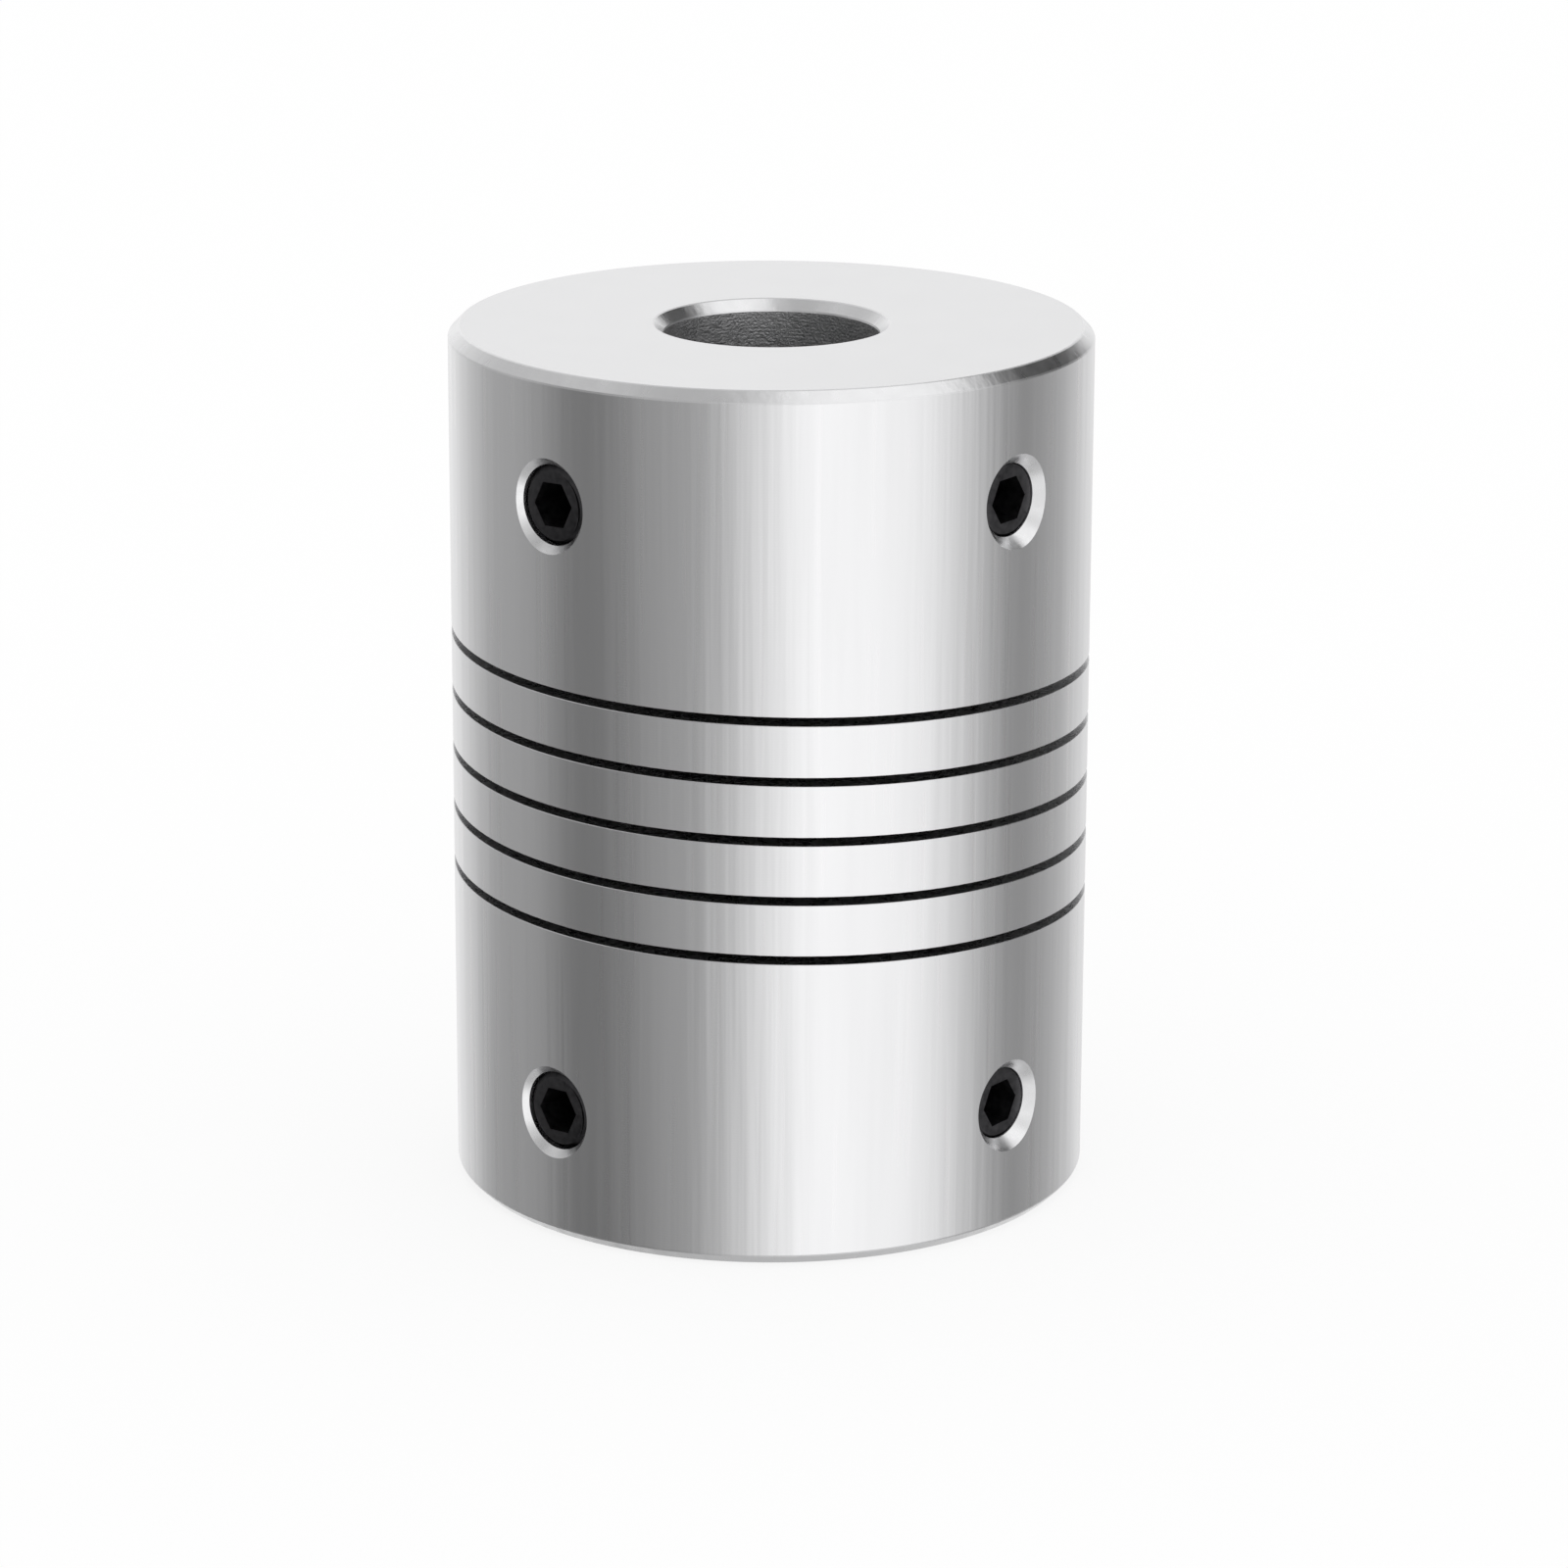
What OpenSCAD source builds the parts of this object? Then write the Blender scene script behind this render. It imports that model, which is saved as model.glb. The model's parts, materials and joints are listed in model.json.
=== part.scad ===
// One-piece helical beam coupling: two hubs and the spring beam between them are one turned bar.
// Frame: the origin is the centre of the lower end face, +Z runs up the bore and -Y is the front.
// Turn angles are measured about +Z from the front, positive towards +X. Lengths are millimetres.

/* [Bar] */
// Outer diameter of both hubs and of the beam
body_d = 30; // [26:0.5:40]
// Length over both end faces
body_l = 41; // [38:0.5:60]
// Chamfer round the outer edge of each end face
end_chamfer = 0.5; // [0.2:0.1:1]

/* [Bores] */
// Shaft bore of the upper hub
upper_bore_d = 10; // [6:0.5:12]
// Shaft bore of the lower hub
lower_bore_d = 10; // [6:0.5:12]
// Chamfer at the mouth of each bore
bore_chamfer = 0.5; // [0.2:0.1:1]
// How much deeper than the larger bore the wall is turned away under the beam
relief_step = 0.5; // [0.3:0.1:1]
// How far that relief runs past the slotted stretch at each end
relief_over = 0.5; // [0.2:0.1:1]

/* [Helical slot] */
// Width of the slot along the bore
slot_w = 0.4; // [0.3:0.1:0.8]
// Rise of the slot in one turn
slot_pitch = 2.8; // [2.2:0.1:3.2]
// Turns of the slot, from end to end on the outer surface
slot_turns = 5; // [3:1:6]
// Turn angle at which the middle of the slot crosses mid-length
slot_turn = -14; // [-180:1:180]
// Radius of the round saw that cuts the slot, which shapes its two ends
saw_r = 20; // [16:1:30]
// How far the saw's edge reaches in past the relief
saw_reach = 0.2; // [0.1:0.05:0.4]

/* [Tapped holes] */
// From each end face to the axes of that hub's screws
screw_inset = 6.1; // [4.5:0.1:7]
// Turn angle of the screws on the left
left_turn = -42; // [-60:1:-30]
// Turn angle of the screws on the right
right_turn = 48; // [30:1:60]
// Chamfer at the mouth of each tapped hole
countersink = 0.2; // [0.1:0.05:0.5]

/* [Set screws] */
// Diameter over the thread
screw_d = 4; // [3:0.5:4.5]
// Length of each screw
screw_l = 8; // [6:0.5:8]
// Gap all round between a screw and its tapped hole
thread_gap = 0.03; // [0.02:0.01:0.1]
// Depth of the left screws' faces below the bar's surface
left_sink = 0.4; // [0.1:0.05:1.5]
// Depth of the right screws' faces below the bar's surface
right_sink = 0.6; // [0.1:0.05:1.5]
// Width across the flats of the hexagon socket
socket_af = 2; // [1.5:0.5:2]
// Depth of the socket's flats
socket_l = 2.2; // [1.5:0.1:2.5]
// Diameter of the hole drilled before the socket was broached
socket_drill_d = 1.9; // [1.2:0.05:1.95]
// Chamfer on the face end of the thread
face_chamfer = 0.4; // [0.2:0.05:0.5]
// Diameter of the cup's sharp rim, to which the thread is chamfered at 45 degrees
cup_d = 2; // [1.6:0.1:2.2]
// Depth of the cup
cup_depth = 0.6; // [0.3:0.05:0.8]
// Turn of each screw about its own axis, from a socket corner that points level
socket_turn = 3; // [-30:1:30]

/* [Hidden] */

// Overshoot of a cut past the face that it opens
past = 1;
// Steps round one turn of the slot, and of drawn circles
turn_steps = 48;
$fn = 96;

body_r = body_d / 2;
relief_r = max(upper_bore_d, lower_bore_d) / 2 + relief_step;
slot_rise = slot_pitch * slot_turns;
relief_low = (body_l - slot_rise) / 2 - relief_over;
relief_high = body_l - relief_low;
lower_screw_z = screw_inset;
upper_screw_z = body_l - screw_inset;

// The saw's axis stands this far from the bore's axis, and its edge then reaches floor_r.
floor_r = relief_r - saw_reach;
saw_axis_r = saw_r + floor_r;
// The cutter is drawn from its floor to cutter_r, and ends where its floor has risen to leave_r.
cutter_r = body_r + past;
leave_r = body_r + past / 2;
// Turn of the saw from the end of its travel to the point where its edge leaves a radius
function saw_turn(r) = acos((pow(saw_axis_r, 2) + r * r - saw_r * saw_r) / (2 * saw_axis_r * r));
// The outer surface is cut over slot_turns, and the drawn cutter goes on to leave_r.
half_slot = slot_turns * 360 / 2;
half_travel = half_slot - saw_turn(body_r);
half_cutter = half_travel + saw_turn(leave_r);

module coupling_body() {
    color([0.82, 0.83, 0.85])
    difference() {
        turned_bar();
        helical_cutter();
        tapped_hole(left_turn, upper_screw_z);
        tapped_hole(right_turn, upper_screw_z);
        tapped_hole(left_turn, lower_screw_z);
        tapped_hole(right_turn, lower_screw_z);
    }
}

// The bar as the lathe leaves it: chamfered ends, two bores, and the relief between them.
module turned_bar() {
    lower_r = lower_bore_d / 2;
    upper_r = upper_bore_d / 2;
    rotate_extrude()
    polygon([
        [lower_r + bore_chamfer, 0],
        [body_r - end_chamfer, 0],
        [body_r, end_chamfer],
        [body_r, body_l - end_chamfer],
        [body_r - end_chamfer, body_l],
        [upper_r + bore_chamfer, body_l],
        [upper_r, body_l - bore_chamfer],
        [upper_r, relief_high],
        [relief_r, relief_high],
        [relief_r, relief_low],
        [lower_r, relief_low],
        [lower_r, bore_chamfer]
    ]);
}

// What the saw removes on its way round a left-hand helix: the height falls as the turn grows.
// Here a turn is counted from the middle of the slot, which itself lies at slot_turn.
// Its floor is level while the saw travels, and rises with the saw's own curve past each end.
function cutter_floor(turn) =
    let (beyond = max(0, abs(turn) - half_travel))
    saw_axis_r * cos(beyond) - sqrt(saw_r * saw_r - pow(saw_axis_r * sin(beyond), 2));

function cutter_height(turn) = body_l / 2 - slot_pitch * turn / 360;

function around(r, turn, z) = [r * sin(turn), -r * cos(turn), z];

// The four corners of the cutter's section, floor and outer edge, below and above
function cutter_ring(turn) =
    let (z = cutter_height(turn), r = cutter_floor(turn), half_w = slot_w / 2, at = slot_turn + turn)
    [around(r, at, z - half_w), around(cutter_r, at, z - half_w),
     around(cutter_r, at, z + half_w), around(r, at, z + half_w)];

module helical_cutter() {
    steps = ceil(2 * half_cutter * turn_steps / 360);
    corners = len(cutter_ring(0));
    last = steps * corners;
    points = [for (i = [0:steps]) each cutter_ring(-half_cutter + i * 2 * half_cutter / steps)];
    sides = [
        for (i = [0:steps - 1], c = [0:corners - 1])
            let (a = i * corners + c, b = i * corners + (c + 1) % corners)
            each [[a, b, b + corners], [a, b + corners, a + corners]]
    ];
    ends = [[for (c = [corners - 1:-1:0]) c], [for (c = [0:corners - 1]) last + c]];
    polyhedron(points = points, faces = concat(sides, ends), convexity = 2 * slot_turns);
}

// Moves a shape drawn on the Z axis out along a radius, so that its +Z points away from the bore.
module on_radius(turn, r, z) {
    translate([0, 0, z])
    rotate([90, 0, turn])
    translate([0, 0, r])
    children();
}

// Drilled from the surface into the bore, and countersunk at 90 degrees.
module tapped_hole(turn, z) {
    on_radius(turn, 0, z) cylinder(d = screw_d, h = body_r + past);
    on_radius(turn, body_r - countersink, z)
        cylinder(d1 = screw_d, d2 = screw_d + 2 * (countersink + past), h = countersink + past);
}

// A cup-point set screw with its face at z = 0 and its cup at z = -screw_l.
module set_screw() {
    r = screw_d / 2 - thread_gap;
    drill_r = socket_drill_d / 2;
    drill_point_h = drill_r / tan(60);
    color([0.12, 0.12, 0.13])
    difference() {
        rotate_extrude()
        polygon([
            [0, 0],
            [r - face_chamfer, 0],
            [r, -face_chamfer],
            [r, r - cup_d / 2 - screw_l],
            [cup_d / 2, -screw_l],
            [0, cup_depth - screw_l]
        ]);
        rotate([0, 0, socket_turn])
        translate([0, 0, -socket_l])
            cylinder(d = socket_af / cos(30), h = socket_l + past, $fn = 6);
        translate([0, 0, -socket_l - drill_point_h])
            cylinder(r1 = 0, r2 = drill_r, h = drill_point_h);
    }
}

module set_screw_upper_left() {
    on_radius(left_turn, body_r - left_sink, upper_screw_z) set_screw();
}

module set_screw_upper_right() {
    on_radius(right_turn, body_r - right_sink, upper_screw_z) set_screw();
}

module set_screw_lower_left() {
    on_radius(left_turn, body_r - left_sink, lower_screw_z) set_screw();
}

module set_screw_lower_right() {
    on_radius(right_turn, body_r - right_sink, lower_screw_z) set_screw();
}

coupling_body();
set_screw_upper_left();
set_screw_upper_right();
set_screw_lower_left();
set_screw_lower_right();
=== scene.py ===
# %% [markdown]
# # A helical beam coupling, dressed for its picture
#
# The object joins two shafts that don't quite line up. It is one bar of aluminium with a bore
# through it. A saw has cut a left-hand helix through the wall at mid-length, and the coil that is
# left bends like a spring. Two black set screws in each hub clamp the shafts.
#
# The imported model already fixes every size. This script gives each surface the look that its own
# tool left on it: the lathe outside and on the end faces, the boring bar inside, the saw in the
# slot, the tap in the screw holes, and black oxide on the screws.

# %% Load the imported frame
import json
import math

import bmesh
import bpy
from mathutils import Euler, Matrix, Vector

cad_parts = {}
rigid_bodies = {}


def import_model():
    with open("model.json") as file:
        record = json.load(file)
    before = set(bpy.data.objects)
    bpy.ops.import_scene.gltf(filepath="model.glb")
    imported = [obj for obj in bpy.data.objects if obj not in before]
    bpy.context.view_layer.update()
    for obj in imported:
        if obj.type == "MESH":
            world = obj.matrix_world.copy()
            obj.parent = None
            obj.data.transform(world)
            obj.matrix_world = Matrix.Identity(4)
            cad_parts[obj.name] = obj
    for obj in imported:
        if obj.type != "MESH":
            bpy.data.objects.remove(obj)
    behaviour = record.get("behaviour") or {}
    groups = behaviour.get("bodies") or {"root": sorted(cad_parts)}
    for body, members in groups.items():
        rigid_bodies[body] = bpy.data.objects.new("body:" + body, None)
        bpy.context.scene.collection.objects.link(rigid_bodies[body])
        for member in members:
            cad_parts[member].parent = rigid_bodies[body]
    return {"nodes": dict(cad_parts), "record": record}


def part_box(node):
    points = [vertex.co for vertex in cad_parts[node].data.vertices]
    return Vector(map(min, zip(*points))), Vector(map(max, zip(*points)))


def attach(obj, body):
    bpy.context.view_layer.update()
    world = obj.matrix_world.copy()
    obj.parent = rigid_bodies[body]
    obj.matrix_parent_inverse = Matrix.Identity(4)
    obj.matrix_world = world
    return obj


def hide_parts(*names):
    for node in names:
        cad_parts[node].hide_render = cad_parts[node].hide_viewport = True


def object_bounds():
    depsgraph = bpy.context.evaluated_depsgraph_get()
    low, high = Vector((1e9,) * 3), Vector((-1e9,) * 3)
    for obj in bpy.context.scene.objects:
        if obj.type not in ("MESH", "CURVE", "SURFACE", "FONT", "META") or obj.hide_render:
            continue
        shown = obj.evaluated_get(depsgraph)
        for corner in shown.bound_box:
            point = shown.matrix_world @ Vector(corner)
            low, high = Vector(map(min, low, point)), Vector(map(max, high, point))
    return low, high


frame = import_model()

MM = 0.001
cad_low, cad_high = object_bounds()
print("frame box, mm:", [round(v / MM, 2) for v in (*cad_low, *cad_high)])

# %% [markdown]
# ## The camera
#
# The picture was taken with a long lens from a little above the top face. A camera needs a place,
# a direction and a lens, and it is made first, so that everything after it can be judged from the
# right spot. The order of the three turns matters: it rolls about its own axis, tips up from
# looking straight down, and then pans about the vertical.

# %% Camera
CAMERA_BACK = 262.1
CAMERA_UP = 96.4
CAMERA_PITCH = 16.52
CAMERA_PAN = -0.143
CAMERA_ROLL = 0.197
LENS = 132.25
SENSOR = 36

camera_data = bpy.data.cameras.new("camera")
camera_data.lens = LENS
camera_data.sensor_width = SENSOR
camera_data.clip_start = 10 * MM
camera = bpy.data.objects.new("camera", camera_data)
bpy.context.scene.collection.objects.link(camera)
bpy.context.scene.camera = camera
roll = Matrix.Rotation(math.radians(CAMERA_ROLL), 4, "Z")
tip = Matrix.Rotation(math.radians(90 - CAMERA_PITCH), 4, "X")
pan = Matrix.Rotation(math.radians(CAMERA_PAN), 4, "Z")
place = Matrix.Translation((0, -CAMERA_BACK * MM, CAMERA_UP * MM))
camera.matrix_world = place @ pan @ tip @ roll
print("camera, mm:", [round(v / MM, 1) for v in place.translation], "lens", LENS)

# %% [markdown]
# ## Sizes
#
# Whatever the frame can tell is read from it, so that the dressed model can't drift from the solid
# one. The other sizes are those of the construction, in millimetres, under the same names.

# %% Sizes of the bar, the slot and the screws, in millimetres
mounts = {mount["name"]: mount for mount in frame["record"]["mounts"]}
body_r = cad_high.x / MM
body_l = cad_high.z / MM
bore_r = mounts["upper_bore"]["dims"]["r_mm"]
END_CHAMFER = 0.5
BORE_CHAMFER = 0.5
RELIEF_STEP = 0.5
RELIEF_OVER = 0.5
SLOT_W = 0.4
SLOT_PITCH = 2.8
SLOT_TURNS = 5
SLOT_TURN = -14
SAW_R = 20
SAW_REACH = 0.2
COUNTERSINK = 0.2
THREAD_D = 4
THREAD_PITCH = 0.7
THREAD_GAP = 0.03
SCREW_L = 8
FACE_CHAMFER = 0.4
CUP_D = 2
CUP_DEPTH = 0.6
SOCKET_AF = 2
SOCKET_L = 2.2
SOCKET_DRILL_D = 1.9
SOCKET_TURN = 3

relief_r = bore_r + RELIEF_STEP
relief_low = (body_l - SLOT_PITCH * SLOT_TURNS) / 2 - RELIEF_OVER
relief_high = body_l - relief_low
print("bar radius", round(body_r, 2), "length", round(body_l, 2), "bore radius", bore_r)

# %% [markdown]
# ## Where each screw sits
#
# The two screws of a hub stand 90 degrees apart, one on each side of the front. Each is named by
# its turn about the bore's axis, its height, and the distance of its face from that axis. The left
# ones are screwed in a little less deep than the right ones.

# %% Places of the screws
SCREW_INSET = 6.1
LEFT_TURN = -42
RIGHT_TURN = 48
LEFT_SINK = 0.4
RIGHT_SINK = 0.6
screws = {}
for hub, height in (("lower", SCREW_INSET), ("upper", body_l - SCREW_INSET)):
    screws[f"set_screw_{hub}_left"] = (math.radians(LEFT_TURN), height, body_r - LEFT_SINK)
    screws[f"set_screw_{hub}_right"] = (math.radians(RIGHT_TURN), height, body_r - RIGHT_SINK)
unplaced = set(frame["nodes"]) - set(screws) - {"coupling_body"}
print("screws placed:", len(screws), "left over in the frame:", len(unplaced))

# %% [markdown]
# ## Colours and nodes
#
# Blender's shaders count in linear light, while colours are usually noted as sRGB hex values, so
# one function turns the one into the other. Another adds a node with its settings and links, which
# keeps a node tree readable as text.

# %% Colour and node helpers
def linear(hex_colour):
    """The linear colour of an sRGB hex value such as #C0C0C0."""
    channels = [int(hex_colour[i : i + 2], 16) / 255 for i in (1, 3, 5)]
    return (*[c / 12.92 if c <= 0.04045 else ((c + 0.055) / 1.055) ** 2.4 for c in channels], 1)


def add(tree, kind, links=None, **settings):
    """Adds a node with its settings. links gives a socket a value or another node's output."""
    node = tree.nodes.new(kind)
    for name, value in settings.items():
        setattr(node, name, value)
    for socket, source in (links or {}).items():
        if isinstance(source, bpy.types.NodeSocket):
            tree.links.new(source, node.inputs[socket])
        else:
            node.inputs[socket].default_value = source
    return node


# %% [markdown]
# ## A bare metal and its grain
#
# A metal has no colour of its own under the reflection: its base colour is what it reflects.
# Roughness says how far a reflection is blurred, and it is never the same all over, so a slow
# noise moves it up and down a little. The grain itself is a bump: a height in metres that tilts
# the surface. A noise texture is given one feature size in millimetres, and stretching its
# coordinates makes the same noise into streaks.

# %% Metal helpers
def bare_metal(name, colour, roughness, anisotropy=0.0):
    """A bare metal. Its IOR stays at the default, because its colour already says what it reflects."""
    material = bpy.data.materials.new(name)
    material.use_nodes = True
    shader = material.node_tree.nodes["Principled BSDF"]
    shader.inputs["Base Color"].default_value = linear(colour)
    shader.inputs["Metallic"].default_value = 1
    shader.inputs["Roughness"].default_value = roughness
    shader.inputs["Anisotropic"].default_value = anisotropy
    return material, material.node_tree, shader


def grain(tree, size_mm, stretch=(1, 1, 1), detail=2.0):
    """A noise between 0 and 1. Its features are size_mm wide, times stretch along each axis."""
    place = add(tree, "ShaderNodeTexCoord")
    scale = [1 / s for s in stretch]
    fitted = add(tree, "ShaderNodeMapping", {"Vector": place.outputs["Object"], "Scale": scale})
    noise = {"Vector": fitted.outputs["Vector"], "Scale": 1 / (size_mm * MM), "Detail": detail}
    return add(tree, "ShaderNodeTexNoise", noise).outputs["Fac"]


def uneven_polish(tree, shader, pattern, spread):
    """Moves the roughness up and down by spread, as pattern goes from 0.3 to 0.7."""
    middle = shader.inputs["Roughness"].default_value
    limits = {"From Min": 0.3, "From Max": 0.7, "To Min": middle - spread, "To Max": middle + spread}
    fitted = add(tree, "ShaderNodeMapRange", {"Value": pattern, **limits})
    tree.links.new(fitted.outputs["Result"], shader.inputs["Roughness"])


def lathe_ridges(tree, outward, feed_mm, wander):
    """Ridges a feed apart, as heights between -1 and 1. outward: along the radius, else along Z."""
    place = add(tree, "ShaderNodeTexCoord")
    flat = {0: place.outputs["Object"], 1: (1, 1, 0) if outward else (0, 0, 1)}
    along = add(tree, "ShaderNodeVectorMath", flat, operation="MULTIPLY")
    travel = add(tree, "ShaderNodeVectorMath", {0: along.outputs["Vector"]}, operation="LENGTH")
    phase = {0: travel.outputs["Value"], 1: 2 * math.pi / (feed_mm * MM), 2: wander}
    angle = add(tree, "ShaderNodeMath", phase, operation="MULTIPLY_ADD")
    return add(tree, "ShaderNodeMath", {0: angle.outputs[0]}, operation="SINE").outputs[0]


def surface_marks(tree, shader, heights):
    """Adds up heights, a list of (pattern, size in mm), and tilts the shading by their slopes."""
    total = 0.0
    for pattern, size_mm in heights:
        share = {0: pattern, 1: size_mm * MM, 2: total}
        total = add(tree, "ShaderNodeMath", share, operation="MULTIPLY_ADD").outputs[0]
    tilt = add(tree, "ShaderNodeBump", {"Height": total, "Distance": 1.0, "Strength": 1.0})
    tree.links.new(tilt.outputs["Normal"], shader.inputs["Normal"])


# %% [markdown]
# ## Turned aluminium
#
# The outside was turned with a fine feed. The tool leaves hair-thin ridges that run round the bar,
# so a reflection is smeared along the bar and stays fairly crisp round it: that is why the light
# and dark bands stand upright. Anisotropy does this, with a tangent that runs round the Z axis and
# is then turned by a quarter. A trace of chatter shifts the bands sideways in faint upright streaks.
#
# The real ridges are about 0.05 mm apart, which is too fine to show, so they are drawn 0.12 mm
# apart and very shallow.

# %% Material: turned aluminium
ALUMINIUM = "#EAEAEB"
turned, tree, shader = bare_metal("fine_turned_aluminium", ALUMINIUM, roughness=0.3, anisotropy=0.8)
tangent = add(tree, "ShaderNodeTangent", direction_type="RADIAL", axis="Z")
tree.links.new(tangent.outputs["Tangent"], shader.inputs["Tangent"])
shader.inputs["Anisotropic Rotation"].default_value = 0.25
chatter = grain(tree, 0.6, stretch=(1, 1, 40))
smear = grain(tree, 0.6, stretch=(1, 1, 30))
uneven_polish(tree, shader, smear, 0.04)
ridges = lathe_ridges(tree, outward=False, feed_mm=0.12, wander=0.0)
surface_marks(tree, shader, [(chatter, 0.015), (ridges, 0.0002)])
print("made", turned.name)

# %% [markdown]
# ## Faced aluminium
#
# The end faces were cut by a tool that moved in towards the axis, so its ridges are rings. The
# finish is finer than outside, and the face reflects the pale room behind the bar evenly. The real
# rings are too fine to show, so they are drawn 0.14 mm apart and very shallow.

# %% Material: faced aluminium
faced, tree, shader = bare_metal("faced_aluminium", ALUMINIUM, roughness=0.26)
uneven_polish(tree, shader, grain(tree, 2.0), 0.01)
rings = lathe_ridges(tree, outward=True, feed_mm=0.14, wander=grain(tree, 2.5))
surface_marks(tree, shader, [(rings, 0.0001), (grain(tree, 0.15), 0.0001)])
print("made", faced.name)

# %% [markdown]
# ## Bored aluminium
#
# Inside the bore the long, thin boring bar chatters and the chips scrape along the wall. The eye
# sees a duller, speckled surface that has lost its clear reflections. The grain carries that look,
# and the boring tool's rings, drawn 0.16 mm apart to show at all, are faint under it.

# %% Material: bored aluminium
bored, tree, shader = bare_metal("bored_aluminium", "#BABABB", roughness=0.45)
uneven_polish(tree, shader, grain(tree, 0.35), 0.1)
rings = lathe_ridges(tree, outward=False, feed_mm=0.16, wander=grain(tree, 1.5))
surface_marks(tree, shader, [(rings, 0.001), (grain(tree, 0.12, detail=4.0), 0.04)])
print("made", bored.name)

# %% [markdown]
# ## Sawn aluminium
#
# A slitting saw scores the walls of the slot along the cut and leaves them with a dull sheen. Most
# of what makes the slot dark is its shape, not its finish: next to no light comes back out of a gap
# that is 0.4 mm wide and 9.5 mm deep. Part of it is painted shade: the walls' base colour is a
# little darker than that of the turned outside.

# %% Material: sawn aluminium
# The base colour, darker than ALUMINIUM, is partly painted shade that darkens the slot.
sawn, tree, shader = bare_metal("sawn_aluminium", "#D8D8D9", roughness=0.28)
uneven_polish(tree, shader, grain(tree, 0.5), 0.03)
surface_marks(tree, shader, [(grain(tree, 0.1, stretch=(1, 1, 0.5), detail=3.0), 0.001)])
print("made", sawn.name)

# %% [markdown]
# ## Tapped aluminium
#
# The mouth of each screw hole was cut with a countersink and its thread with a tap. Both scrape
# round the hole and leave a bright surface, with a little tearing that shows as a fine grain.

# %% Material: tapped aluminium
tapped, tree, shader = bare_metal("tapped_aluminium", ALUMINIUM, roughness=0.3)
uneven_polish(tree, shader, grain(tree, 0.4), 0.06)
surface_marks(tree, shader, [(grain(tree, 0.12, detail=3.0), 0.0008)])
print("made", tapped.name)

# %% [markdown]
# ## Black oxide steel
#
# The screws are hardened steel, blackened in hot salts. The layer is thinner than a hair's
# hundredth: it darkens the steel to a soft satin black, and the steel's own forming marks still
# show through as a fine, uneven sheen.

# %% Material: black oxide steel
black_oxide, tree, shader = bare_metal("hot_blackened_steel", "#484749", roughness=0.42)
cloud = grain(tree, 0.3, detail=3.0)
uneven_polish(tree, shader, cloud, 0.08)
# Sockets 6 and 7 of a Mix node are its two colours, and output 2 is the mixed one.
tones = {"Factor": cloud, 6: linear("#2B2B2D"), 7: linear("#5D5C5E")}
tone = add(tree, "ShaderNodeMix", tones, data_type="RGBA")
tree.links.new(tone.outputs[2], shader.inputs["Base Color"])
surface_marks(tree, shader, [(grain(tree, 0.07, detail=3.0), 0.003)])
print("made", black_oxide.name)

# %% [markdown]
# ## From points to a piece
#
# Every piece starts as a list of points and faces. Points that lie on top of each other are joined,
# because a mesh with a hidden seam isn't closed, and the cuts further down only work on closed ones.
# By hand this is Merge by Distance. Here it is part of making each mesh and of each cut.

# %% Mesh helpers
WELD = 1e-4 * MM


def weld(mesh):
    """Joins points that lie on top of each other, and turns every face outward."""
    shape = bmesh.new()
    shape.from_mesh(mesh)
    bmesh.ops.remove_doubles(shape, verts=shape.verts, dist=WELD)
    bmesh.ops.dissolve_degenerate(shape, edges=shape.edges, dist=WELD)
    bmesh.ops.recalc_face_normals(shape, faces=shape.faces)
    shape.to_mesh(mesh)
    shape.free()


def new_piece(name, points_mm, faces, finishes=None, materials=()):
    """An object from points in millimetres. finishes gives each face's place in materials."""
    mesh = bpy.data.meshes.new(name)
    mesh.from_pydata([Vector(p) * MM for p in points_mm], [], faces)
    for material in materials:
        mesh.materials.append(material)
    if finishes:
        mesh.polygons.foreach_set("material_index", finishes)
    weld(mesh)
    piece = bpy.data.objects.new(name, mesh)
    bpy.context.scene.collection.objects.link(piece)
    return piece


# %% [markdown]
# ## Shapes that a lathe makes
#
# A turned shape is an outline spun about an axis, so a list of points (radius, height) is enough to
# describe it. Each side of the outline also says which finish it has, since a facing cut and a
# boring cut don't leave the same surface. Blender's Screw modifier could do the spinning too, but
# it can't tell the finishes apart.

# %% Spin an outline
BAR_FINISHES = [turned, faced, bored]
TURNED, FACED, BORED = range(3)


def revolve(name, outline, steps, materials=()):
    """Spins the closed outline of (radius, height, finish) about the Z axis."""
    points = []
    faces = []
    finishes = []
    count = len(outline)
    for i in range(steps):
        angle = 2 * math.pi * i / steps
        points += [(r * math.sin(angle), -r * math.cos(angle), z) for r, z, _ in outline]
        for j in range(count):
            a = i * count + j
            b = i * count + (j + 1) % count
            c = (i + 1) % steps * count + (j + 1) % count
            d = (i + 1) % steps * count + j
            faces.append((a, b, c, d))
            finishes.append(outline[j][2])
    return new_piece(name, points, faces, finishes, materials)


# %% [markdown]
# ## No corner is perfectly sharp
#
# A deburring tool takes a few hundredths of a millimetre off each machined edge, and that narrow
# flat is what catches the light. So each corner of an outline is cut by a hair before it is spun.

# %% Ease the corners of an outline
def eased(outline, cut):
    """The same outline with a short flat in place of each corner that isn't on the axis."""
    result = []
    for i, (r, z, finish) in enumerate(outline):
        here = Vector((r, z))
        if r < cut:
            result.append((r, z, finish))
            continue
        before = outline[i - 1]
        after = outline[(i + 1) % len(outline)]
        to_before = (Vector(before[:2]) - here).normalized() * cut
        to_after = (Vector(after[:2]) - here).normalized() * cut
        result.append((*(here + to_before), before[2]))
        result.append((*(here + to_after), finish))
    return result


# %% [markdown]
# ## The turned bar
#
# This is the bar as the lathe leaves it: two chamfered ends, a bore from each end, and between them
# a relief, a shallow groove bored under the part that will become the spring, so that the saw has
# somewhere to come out.

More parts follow.
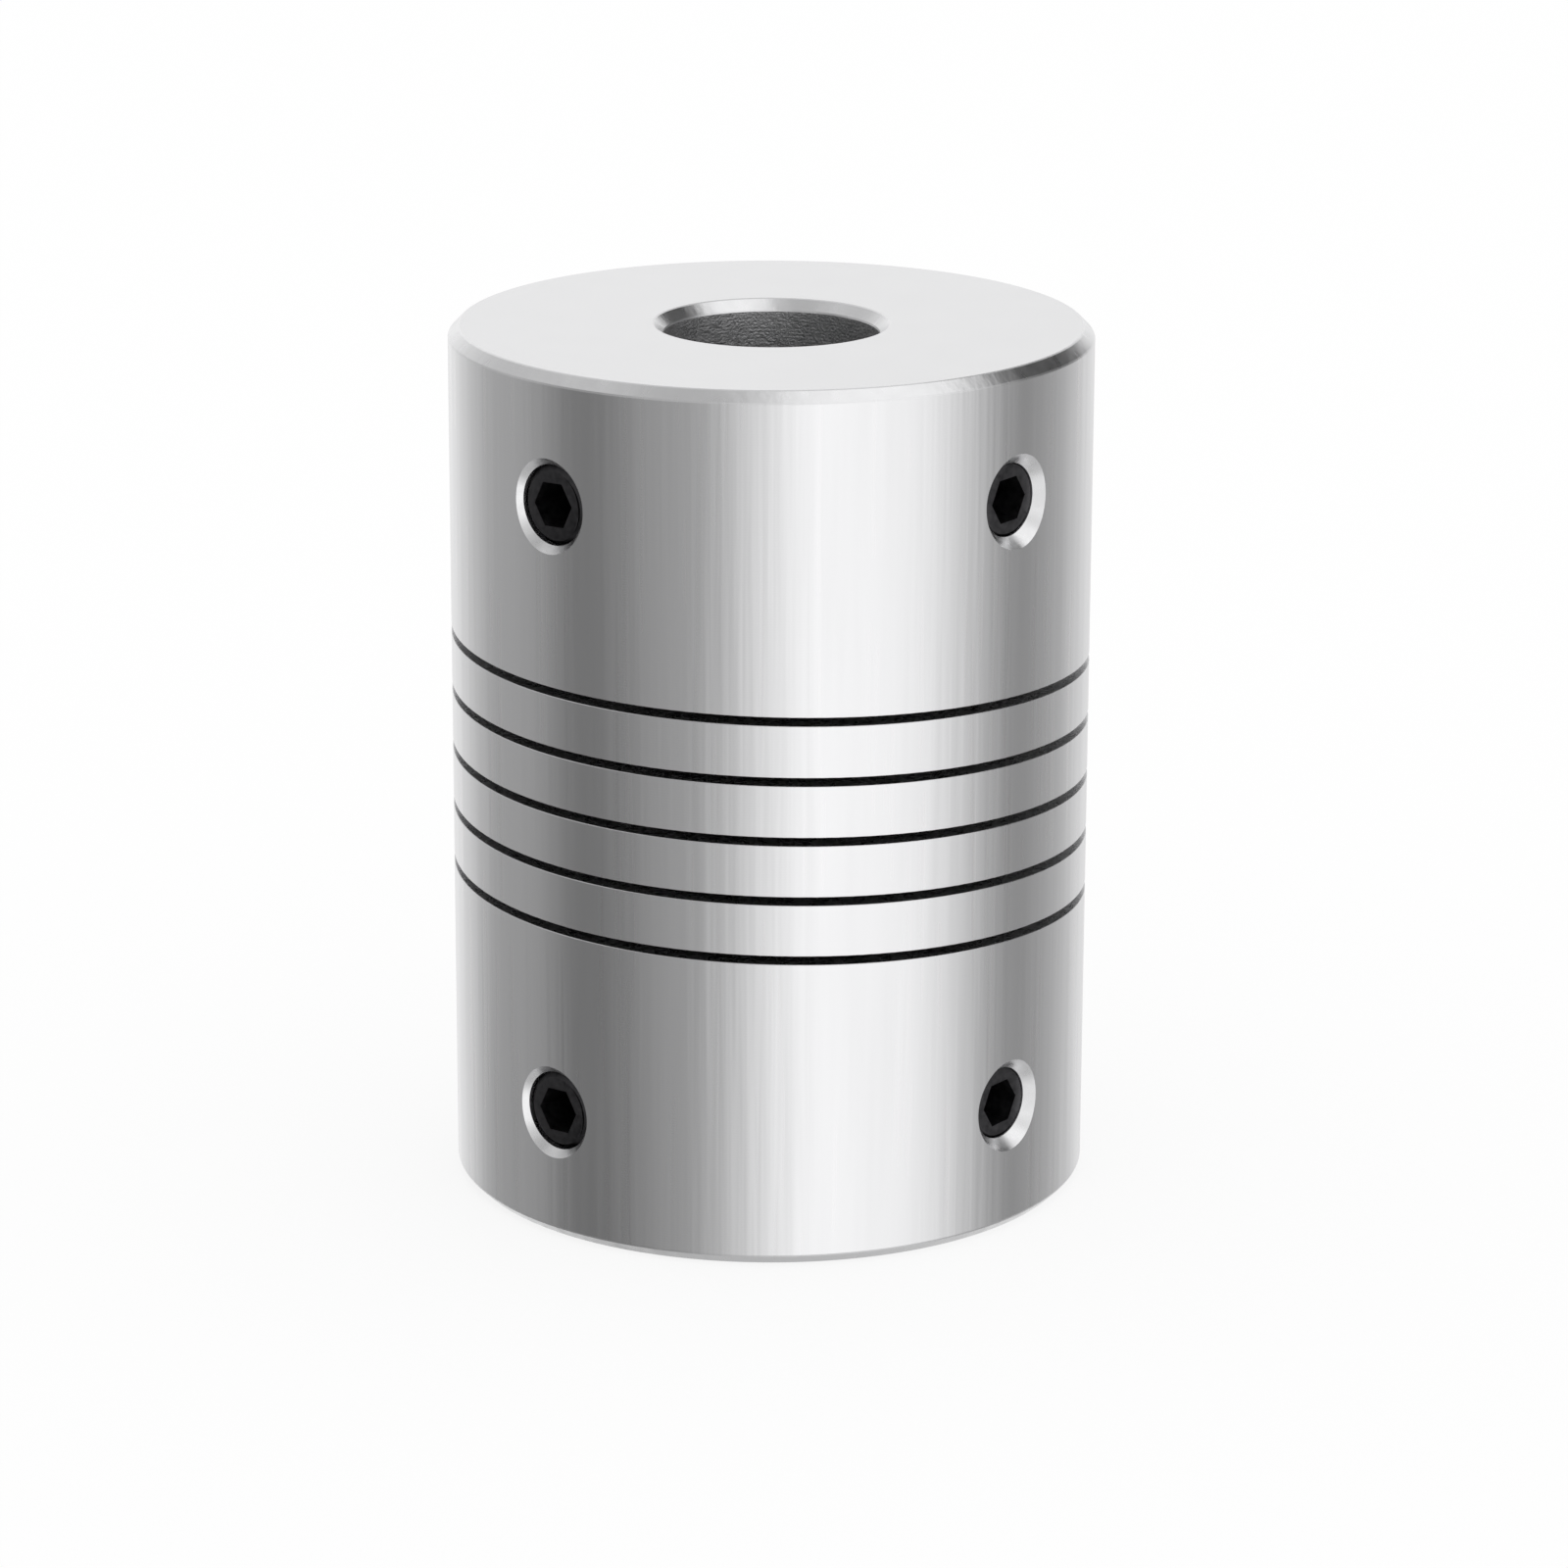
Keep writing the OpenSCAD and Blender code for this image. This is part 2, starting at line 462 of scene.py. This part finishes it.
# %% The turned bar
EDGE = 0.05
BAR_STEPS = 360
bar_outline = [
    (bore_r + BORE_CHAMFER, 0, FACED),
    (body_r - END_CHAMFER, 0, TURNED),
    (body_r, END_CHAMFER, TURNED),
    (body_r, body_l - END_CHAMFER, TURNED),
    (body_r - END_CHAMFER, body_l, FACED),
    (bore_r + BORE_CHAMFER, body_l, TURNED),
    (bore_r, body_l - BORE_CHAMFER, BORED),
    (bore_r, relief_high, BORED),
    (relief_r, relief_high, BORED),
    (relief_r, relief_low, BORED),
    (bore_r, relief_low, BORED),
    (bore_r, BORE_CHAMFER, TURNED),
]
body = revolve("coupling_body_dressed", eased(bar_outline, EDGE), BAR_STEPS, BAR_FINISHES)
print("bar:", len(body.data.polygons), "faces")

# %% [markdown]
# ## Cuts along a helix
#
# The slot, the screws' threads and the threads in their holes are the same move: a small section is
# carried round an axis while it climbs. One function makes all three as closed tubes, and each is
# then subtracted, as the real tool takes away whatever lies on its path. The exact solver of the
# Boolean modifier can also carry the cutter's material over to the faces that it leaves.

# %% Sweep and cut
def helix(name, section_at, first_turn, last_turn, rise, steps_per_turn, material):
    """Sweeps section_at(turn), a list of (radius, height), from one turn to the other, in degrees."""
    steps = math.ceil((last_turn - first_turn) / 360 * steps_per_turn)
    points = []
    faces = []
    for i in range(steps + 1):
        turn = first_turn + (last_turn - first_turn) * i / steps
        angle = math.radians(turn)
        climb = rise * turn / 360
        section = section_at(turn)
        count = len(section)
        points += [(r * math.sin(angle), -r * math.cos(angle), z + climb) for r, z in section]
        for j in range(count if i else 0):
            a = (i - 1) * count + j
            b = (i - 1) * count + (j + 1) % count
            faces.append((a, b, b + count, a + count))
    faces.append(tuple(range(count)))
    faces.append(tuple(steps * count + j for j in range(count)))
    return new_piece(name, points, faces, [0] * len(faces), [material])


def cut(work, tool):
    """Takes tool away from work, and deletes it. The new faces keep the tool's material."""
    modifier = work.modifiers.new("cut", "BOOLEAN")
    modifier.object = tool
    modifier.operation = "DIFFERENCE"
    modifier.solver = "EXACT"
    modifier.material_mode = "TRANSFER"
    depsgraph = bpy.context.evaluated_depsgraph_get()
    mesh = bpy.data.meshes.new_from_object(work.evaluated_get(depsgraph))
    work.modifiers.clear()
    weld(mesh)
    work.data = mesh
    bpy.data.objects.remove(tool)


def moved(piece, matrix):
    """The piece with its points moved. Its origin stays where it was."""
    piece.data.transform(matrix)
    return piece


# %% [markdown]
# ## The helical slot
#
# A round slitting saw travels round the bar. While it travels, its edge reaches just into the
# relief. At both ends it has been lifted out, so there the floor of the slot rises along the saw's
# own curve. The same rule draws it here: past the end of the travel, the floor is a point of a
# circle of the saw's radius. The two lips of the slot are broken by a hair, as the bar's edges are.

# %% The helical slot
LIP = 0.02
LEAST_DEPTH = 0.01
SLOT_STEPS = 120
SLOT_PAST = 0.1
floor_r = relief_r - SAW_REACH
saw_axis_r = SAW_R + floor_r
lip_r = body_r - LIP
cutter_r = body_r + SLOT_PAST


def saw_turn(r):
    """Turn of the saw, in degrees, from its last place to where its edge leaves radius r."""
    cosine = (saw_axis_r**2 + r**2 - SAW_R**2) / (2 * saw_axis_r * r)
    return math.degrees(math.acos(cosine))


half_travel = SLOT_TURNS * 180 - saw_turn(body_r)
half_cutter = half_travel + saw_turn(body_r + SLOT_PAST / 2)


def slot_section(turn):
    beyond = math.radians(max(0, abs(turn) - half_travel))
    low_r = saw_axis_r * math.cos(beyond) - math.sqrt(SAW_R**2 - (saw_axis_r * math.sin(beyond)) ** 2)
    half = SLOT_W / 2
    edge_r = max(low_r + LEAST_DEPTH, lip_r)
    side = [(low_r, half), (edge_r, half), (cutter_r, half + cutter_r - lip_r)]
    lower = [(r, body_l / 2 - wide) for r, wide in side]
    upper = [(r, body_l / 2 + wide) for r, wide in side]
    return lower + upper[::-1]


slot = helix("slot", slot_section, -half_cutter, half_cutter, -SLOT_PITCH, SLOT_STEPS, sawn)
cut(body, moved(slot, Matrix.Rotation(math.radians(SLOT_TURN), 4, "Z")))
print("slotted:", len(body.data.polygons), "faces")

# %% [markdown]
# ## Tapped holes
#
# Each hole is drilled to the thread's inner diameter, and its mouth is opened with a pointed
# countersink down to the level of the screw's face. From there the wall goes straight down to the
# screw's own chamfer and then keeps an even, narrow gap from it, so that no light gets in beside the
# screw. Below that the wall is plain for a short way, and then the thread begins.
#
# The depths of the two threads are the standard shares of the pitch for a metric thread.

# %% Sizes of an M4 thread
FLANK = math.tan(math.radians(30))
HOLE_THREAD_DEPTH = 0.5413 * THREAD_PITCH
SCREW_THREAD_DEPTH = 0.6134 * THREAD_PITCH
TOOTH_PAST = 0.05
crest_half = THREAD_PITCH / 16
hole_major_r = THREAD_D / 2
hole_minor_r = hole_major_r - HOLE_THREAD_DEPTH
bolt_major_r = hole_major_r - THREAD_GAP
bolt_minor_r = bolt_major_r - SCREW_THREAD_DEPTH
print("hole", round(hole_minor_r, 3), hole_major_r, "screw", round(bolt_minor_r, 3), bolt_major_r)

# %% The outline of a hole
PAST = 1
SINK_SLOPE = math.tan(math.radians(40))
PLAIN_PAST = 0.4
PLAIN_ROOM = 0.01


def radial(turn, height):
    """The matrix that lays the Z axis along a radius of the bar, pointing out."""
    lay = Euler((math.pi / 2, 0, turn)).to_matrix().to_4x4()
    return Matrix.Translation((0, 0, height * MM)) @ lay


def plain_height(face_r):
    """Where the plain wall ends, as a distance from the bore's axis, past the screw's chamfer."""
    return face_r - FACE_CHAMFER - PLAIN_PAST


def hole_outline(face_r):
    """The hole for a screw whose face lies face_r from the bore's axis."""
    rim_r = hole_major_r + COUNTERSINK
    face_edge_r = bolt_major_r - FACE_CHAMFER
    sink_depth = body_r - face_r
    sink_r = rim_r - sink_depth * SINK_SLOPE
    wall_depth = sink_depth + sink_r - face_edge_r - THREAD_GAP
    plain_r = plain_height(face_r)
    wide_r = hole_major_r + PLAIN_ROOM
    return [
        (0, 0, 0),
        (hole_minor_r, 0, 0),
        (hole_minor_r, plain_r - (wide_r - hole_minor_r), 0),
        (wide_r, plain_r, 0),
        (wide_r, body_r - wall_depth - (wide_r - sink_r), 0),
        (sink_r, body_r - wall_depth, 0),
        (sink_r, body_r - sink_depth, 0),
        (rim_r + PAST * SINK_SLOPE, body_r + PAST, 0),
        (0, body_r + PAST, 0),
    ]


# %% [markdown]
# ## The thread in each hole
#
# The tap's tooth is carried along a helix, from inside the bore to just past the end of the thread.
# Only its inner end can be seen, from inside the bore, between the screw's point and the wall.

# %% Drill and tap
HOLE_STEPS = 96
TAP_STEPS = 48
TAP_PAST = 0.3


def groove_in_hole(turn):
    """The tap's tooth: wide where it enters the wall and narrow at its tip."""
    root_r = hole_minor_r - TOOTH_PAST
    root = crest_half + (hole_major_r - root_r) * FLANK
    return [(root_r, -root), (hole_major_r, -crest_half), (hole_major_r, crest_half), (root_r, root)]


tap_start = (bore_r - PAST) / THREAD_PITCH * 360
for turn, height, face_r in screws.values():
    drill = revolve("drill", hole_outline(face_r), HOLE_STEPS, [tapped])
    cut(body, moved(drill, radial(turn, height)))
    tap_end = (plain_height(face_r) + TAP_PAST) / THREAD_PITCH * 360
    tap = helix("tap", groove_in_hole, tap_start, tap_end, THREAD_PITCH, TAP_STEPS, tapped)
    cut(body, moved(tap, radial(turn, height)))
print("drilled and tapped:", len(body.data.polygons), "faces")

# %% [markdown]
# ## Round shading for turned faces
#
# The bar is made of flat strips, and the cuts have left many odd-shaped faces among them. Blender
# would average the slopes at their corners and show smudges. But a turned surface has a known
# direction at each point: straight out from the axis, leaning as much as its cone does. So each
# corner of a turned face gets that direction, and the other faces are smoothed as usual.

# %% Give the body its normals
SHARP_ANGLE = 30


def smooth(mesh):
    """Smooth shading, with every edge that turns by more than SHARP_ANGLE kept sharp."""
    mesh.polygons.foreach_set("use_smooth", [True] * len(mesh.polygons))
    mesh.set_sharp_from_angle(angle=math.radians(SHARP_ANGLE))


def true_normals(piece, turned_finishes):
    """Gives the faces of the turned finishes the slope of the round surface that they stand for."""
    mesh = piece.data
    smooth(mesh)
    normals = [corner.vector.copy() for corner in mesh.corner_normals]
    for face in mesh.polygons:
        if face.material_index not in turned_finishes:
            continue
        outward = Vector((face.center.x, face.center.y, 0)).normalized()
        lean = face.normal.dot(outward)
        for corner in face.loop_indices:
            point = mesh.vertices[mesh.loops[corner].vertex_index].co
            here = Vector((point.x, point.y, 0)).normalized()
            normals[corner] = (here * lean + Vector((0, 0, face.normal.z))).normalized()
    mesh.normals_split_custom_set(normals)


true_normals(body, (TURNED, FACED, BORED))
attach(body, "root")
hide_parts("coupling_body")
print("body:", [material.name for material in body.data.materials])

# %% [markdown]
# ## Set screws
#
# A set screw has no head. A chamfered rod is threaded all along, a hexagon is broached into a
# drilled hole at one end, and the other end is a cup with a sharp rim that bites into the shaft.
# The steps here are the real ones in the same order, and every cut is a closed shape.

# %% The screw's rod and the die's tooth
SCREW_EDGE = 0.02
SCREW_STEPS = 96


def groove_on_screw(turn):
    """The die's tooth: narrow at the root of the thread and wide outside."""
    out_r = bolt_major_r + TOOTH_PAST
    root = THREAD_PITCH / 2 - crest_half - (bolt_major_r - bolt_minor_r) * FLANK
    mouth = root + (out_r - bolt_minor_r) * FLANK
    return [(bolt_minor_r, -root), (out_r, -mouth), (out_r, mouth), (bolt_minor_r, root)]


def screw_blank(name):
    """The rod before it is threaded, with its face at 0 and its cup at -SCREW_L."""
    outline = [
        (0, 0, 0),
        (bolt_major_r - FACE_CHAMFER, 0, 0),
        (bolt_major_r, -FACE_CHAMFER, 0),
        (bolt_major_r, bolt_major_r - CUP_D / 2 - SCREW_L, 0),
        (CUP_D / 2, -SCREW_L, 0),
        (0, CUP_DEPTH - SCREW_L, 0),
    ]
    return revolve(name, eased(outline, SCREW_EDGE), SCREW_STEPS, [black_oxide])


# %% [markdown]
# ## Thread and socket
#
# The screw's thread has to start where its hole's thread does, or the ridges of the one would cut
# through those of the other. So its helix is turned to match the depth of the screw, and lies half a
# pitch away from the groove in the hole. The socket is a six-sided hole with the point of the drill
# that went in before it.

# %% Thread and socket
THREAD_STEPS = 64
DRILL_STEPS = 48
DRILL_POINT = math.radians(60)
DRILL_PAST = 0.1


def thread(screw, face_r):
    """Cuts the thread, from one pitch past the point to one pitch past the face."""
    first = (-SCREW_L - THREAD_PITCH) / THREAD_PITCH * 360
    last = 360
    phase = face_r / THREAD_PITCH * 360 - 180
    groove = helix("groove", groove_on_screw, first, last, THREAD_PITCH, THREAD_STEPS, black_oxide)
    cut(screw, moved(groove, Matrix.Rotation(math.radians(phase), 4, "Z")))


def broach(screw):
    """Cuts the hexagon socket and the drill's point at its bottom."""
    corner_r = SOCKET_AF / math.sqrt(3)
    hexagon = [(0, -SOCKET_L, 0), (corner_r, -SOCKET_L, 0), (corner_r, PAST, 0), (0, PAST, 0)]
    socket = revolve("socket", hexagon, 6, [black_oxide])
    cut(screw, moved(socket, Matrix.Rotation(math.radians(90 + SOCKET_TURN), 4, "Z")))
    drill_r = SOCKET_DRILL_D / 2
    tip_z = -SOCKET_L - drill_r / math.tan(DRILL_POINT)
    top_z = DRILL_PAST - SOCKET_L
    tip = [(0, tip_z, 0), (drill_r, -SOCKET_L, 0), (drill_r, top_z, 0), (0, top_z, 0)]
    cut(screw, revolve("drill_tip", tip, DRILL_STEPS, [black_oxide]))


# %% [markdown]
# ## The four screws in their holes
#
# The same screw is made four times and laid along its own radius. To be sure that it stands where
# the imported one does, the corners of the two boxes are compared, and the difference is printed. It
# is about 0.02 mm, the hair that is taken off this screw's edges.

# %% Make the four screws
for name, (turn, height, face_r) in screws.items():
    screw = screw_blank(name + "_dressed")
    thread(screw, face_r)
    broach(screw)
    moved(screw, radial(turn, height) @ Matrix.Translation((0, 0, face_r * MM)))
    smooth(screw.data)
    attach(screw, "root")
    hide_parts(name)
    # Of a bounding box's eight corners, number 0 is the lowest and number 6 the highest.
    corners = [Vector(corner) for corner in screw.bound_box]
    packed_low, packed_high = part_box(name)
    off = max((corners[0] - packed_low).length, (corners[6] - packed_high).length) / MM
    print(screw.name, len(screw.data.polygons), "faces, box off by", round(off, 3), "mm")

# %% [markdown]
# ## White paper to stand on
#
# The bar stands on a wide sheet of white paper, under an evenly white sky that lights the paper and
# gives the bar its soft shadow. The Light Path node tells what kind of ray has met the paper. What
# the camera sees of it, or would see in a reflection or through glass, is mixed with plain white,
# so that the sheet runs into the sky without an edge and still keeps a part of the shadow.
#
# Metal would show the far edge of the sheet as a hard line, so rays that the metal reflects pass
# through it and meet the tent that comes next.

# %% The paper
FLOOR_R = 4
FLOOR_THICK = 1
FLOOR_STEPS = 64
FLOOR_FADE = 0.8
floor_outline = [
    (0, 0, 0),
    (FLOOR_R / MM, 0, 0),
    (FLOOR_R / MM, -FLOOR_THICK, 0),
    (0, -FLOOR_THICK, 0),
]
paper = bpy.data.materials.new("white_paper")
paper.use_nodes = True
tree = paper.node_tree
shader = tree.nodes["Principled BSDF"]
shader.inputs["Base Color"].default_value = linear("#FDFDFD")
shader.inputs["Roughness"].default_value = 0.9
shader.inputs["Specular IOR Level"].default_value = 0.0
fibres = grain(tree, 0.8, detail=4.0)
surface_marks(tree, shader, [(fibres, 0.01)])
white = add(tree, "ShaderNodeEmission", {"Color": (1, 1, 1, 1), "Strength": 1.0})
rays = add(tree, "ShaderNodeLightPath").outputs
seen = rays["Is Camera Ray"]
for kind in ("Is Glossy Ray", "Is Transmission Ray"):
    seen = add(tree, "ShaderNodeMath", {0: seen, 1: rays[kind]}, operation="MAXIMUM").outputs[0]
faded = add(tree, "ShaderNodeMath", {0: seen, 1: FLOOR_FADE}, operation="MULTIPLY").outputs[0]
mixed = {0: faded, 1: shader.outputs["BSDF"], 2: white.outputs["Emission"]}
mixed = add(tree, "ShaderNodeMixShader", mixed).outputs["Shader"]
tree.links.new(mixed, tree.nodes["Material Output"].inputs["Surface"])
floor = revolve("floor", floor_outline, FLOOR_STEPS, [paper])
floor.visible_glossy = False
print("floor", FLOOR_R, "m in radius")

# %% The sky
sky = bpy.data.worlds.new("white_sky")
bpy.context.scene.world = sky
sky.use_nodes = True
background = sky.node_tree.nodes["Background"]
background.inputs["Color"].default_value = (1, 1, 1, 1)
background.inputs["Strength"].default_value = 1.0
print("made", sky.name)

# %% [markdown]
# ## A light tent for the metal
#
# Bare metal is only as interesting as what it reflects. A photographer stands it in a tent of white
# cloth, and hangs grey and black cards in it: the bright front and the dark sides become the bands
# on the bar. The tent is a sphere that only reflected rays see. Its brightness follows from the
# direction alone, so it is the same from wherever the bar is looked at.
#
# SIDES gives the brightness of the cloth round the bar, by azimuth in degrees from the front, with
# positive to the right. OVERHEAD and BELOW are the roof and the lower cloth. CARDS are round cards
# with soft edges, most of them dark: azimuth, elevation, inner and outer radius, and brightness.

# %% The tent's cloth and cards
SIDES = [
    (-180, 0.95),
    (-160, 0.93),
    (-138, 0.65),
    (-118, 0.46),
    (-98, 0.46),
    (-72, 0.21),
    (-45, 0.42),
    (-22, 0.46),
    (8, 1.06),
    (26, 1.14),
    (62, 0.93),
    (92, 0.35),
    (108, 0.33),
    (132, 0.56),
    (155, 0.83),
    (180, 0.95),
]
TENT_STRENGTH = 1.25
OVERHEAD = 0.66
BELOW = 0.52
CARDS = [
    (75, 62, 14, 40, 1.10),
    (-50, 66, 6, 24, 0.45),
    (130, 29, 10, 34, 0.05),
    (-105, -40, 5, 34, 0.25),
    (-60, -40, 5, 34, 0.12),
]
TENT_R = 3
print("tent:", len(SIDES), "levels round it and", len(CARDS), "cards")

# %% [markdown]
# ## From a direction to a brightness
#
# The tent's material asks each point of the sphere in which direction it lies. Its azimuth looks up
# the brightness of the cloth in a colour ramp, which joins the levels of SIDES by a smooth curve.

# %% The cloth round the bar
cloth = bpy.data.materials.new("tent_cloth")
cloth.use_nodes = True
tree = cloth.node_tree
tree.nodes.remove(tree.nodes["Principled BSDF"])
place = add(tree, "ShaderNodeTexCoord").outputs["Object"]
direction = add(tree, "ShaderNodeVectorMath", {0: place}, operation="NORMALIZE").outputs["Vector"]
parts = add(tree, "ShaderNodeSeparateXYZ", {0: direction}).outputs
front = add(tree, "ShaderNodeMath", {0: parts["Y"], 1: -1.0}, operation="MULTIPLY").outputs[0]
azimuth = add(tree, "ShaderNodeMath", {0: parts["X"], 1: front}, operation="ARCTAN2").outputs[0]
share = {"Value": azimuth, "From Min": -math.pi, "From Max": math.pi}
share = add(tree, "ShaderNodeMapRange", share).outputs["Result"]
ramp = add(tree, "ShaderNodeValToRGB", {"Fac": share})
ramp.color_ramp.interpolation = "CARDINAL"
stops = ramp.color_ramp.elements
stops.remove(stops[-1])
for i, (side, level) in enumerate(SIDES):
    stop = stops[0] if i == 0 else stops.new((side + 180) / 360)
    stop.position = (side + 180) / 360
    stop.color = (*[level / TENT_STRENGTH] * 3, 1)
brightness = ramp.outputs["Color"]
print("cloth levels:", len(stops))

# %% [markdown]
# ## The roof, the lower cloth and the cards
#
# Each of these covers what is behind it, with a soft edge. A pattern that grows towards the middle
# of the cover decides where that is: the height of the direction for the roof, and the cosine of the
# angle to a card's middle for a card.

# %% Covers in the tent
ROOF_EDGE = (20, 55)
UNDER_EDGE = (40, 70)


def toward(azimuth, elevation):
    """Unit vector of a direction, both angles in degrees."""
    turn = math.radians(azimuth)
    tilt = math.radians(elevation)
    return (math.sin(turn) * math.cos(tilt), -math.cos(turn) * math.cos(tilt), math.sin(tilt))


def covered(brightness, pattern, start, end, level):
    """The brightness so far, changed to level as the pattern rises from start to end."""
    limits = {"Value": pattern, "From Min": start, "From Max": end}
    edge = add(tree, "ShaderNodeMapRange", limits, interpolation_type="SMOOTHSTEP")
    cloths = {"Factor": edge.outputs["Result"], 6: brightness, 7: (*[level / TENT_STRENGTH] * 3, 1)}
    return add(tree, "ShaderNodeMix", cloths, data_type="RGBA").outputs[2]


start, end = [math.sin(math.radians(angle)) for angle in ROOF_EDGE]
brightness = covered(brightness, parts["Z"], start, end, OVERHEAD)
downward = add(tree, "ShaderNodeMath", {0: parts["Z"], 1: -1.0}, operation="MULTIPLY").outputs[0]
start, end = [math.sin(math.radians(angle)) for angle in UNDER_EDGE]
brightness = covered(brightness, downward, start, end, BELOW)
for side, lift, inner, outer, level in CARDS:
    nearness = {0: direction, 1: toward(side, lift)}
    nearness = add(tree, "ShaderNodeVectorMath", nearness, operation="DOT_PRODUCT").outputs["Value"]
    start, end = [math.cos(math.radians(angle)) for angle in (outer, inner)]
    brightness = covered(brightness, nearness, start, end, level)
glow = add(tree, "ShaderNodeEmission", {"Color": brightness, "Strength": TENT_STRENGTH})
tree.links.new(glow.outputs["Emission"], tree.nodes["Material Output"].inputs["Surface"])
print("made", cloth.name, "with", len(tree.nodes), "nodes")

# %% [markdown]
# ## The tent itself
#
# A sphere stands round the bar, far enough away for every point of the bar to see the same tent.
# Cycles can hide an object from each kind of ray. Only the rays that a shiny surface reflects meet
# this one, so it lights no paper, throws no shadow and never shows in the picture.

# %% The tent
shape = bmesh.new()
bmesh.ops.create_icosphere(shape, subdivisions=5, radius=TENT_R)
tent_mesh = bpy.data.meshes.new("tent")
shape.to_mesh(tent_mesh)
shape.free()
tent_mesh.materials.append(cloth)
tent = bpy.data.objects.new("tent", tent_mesh)
tent.location = (0, 0, body_l / 2 * MM)
bpy.context.scene.collection.objects.link(tent)
tent.visible_camera = False
tent.visible_diffuse = False
tent.visible_transmission = False
tent.visible_volume_scatter = False
tent.visible_shadow = False
cloth.cycles.emission_sampling = "NONE"
print("tent", TENT_R, "m in radius,", len(CARDS), "cards")

# %% [markdown]
# ## The view transform
#
# The view transform is set to Standard, so that a colour comes out as it was written.

# %% The view transform
bpy.context.scene.view_settings.view_transform = "Standard"
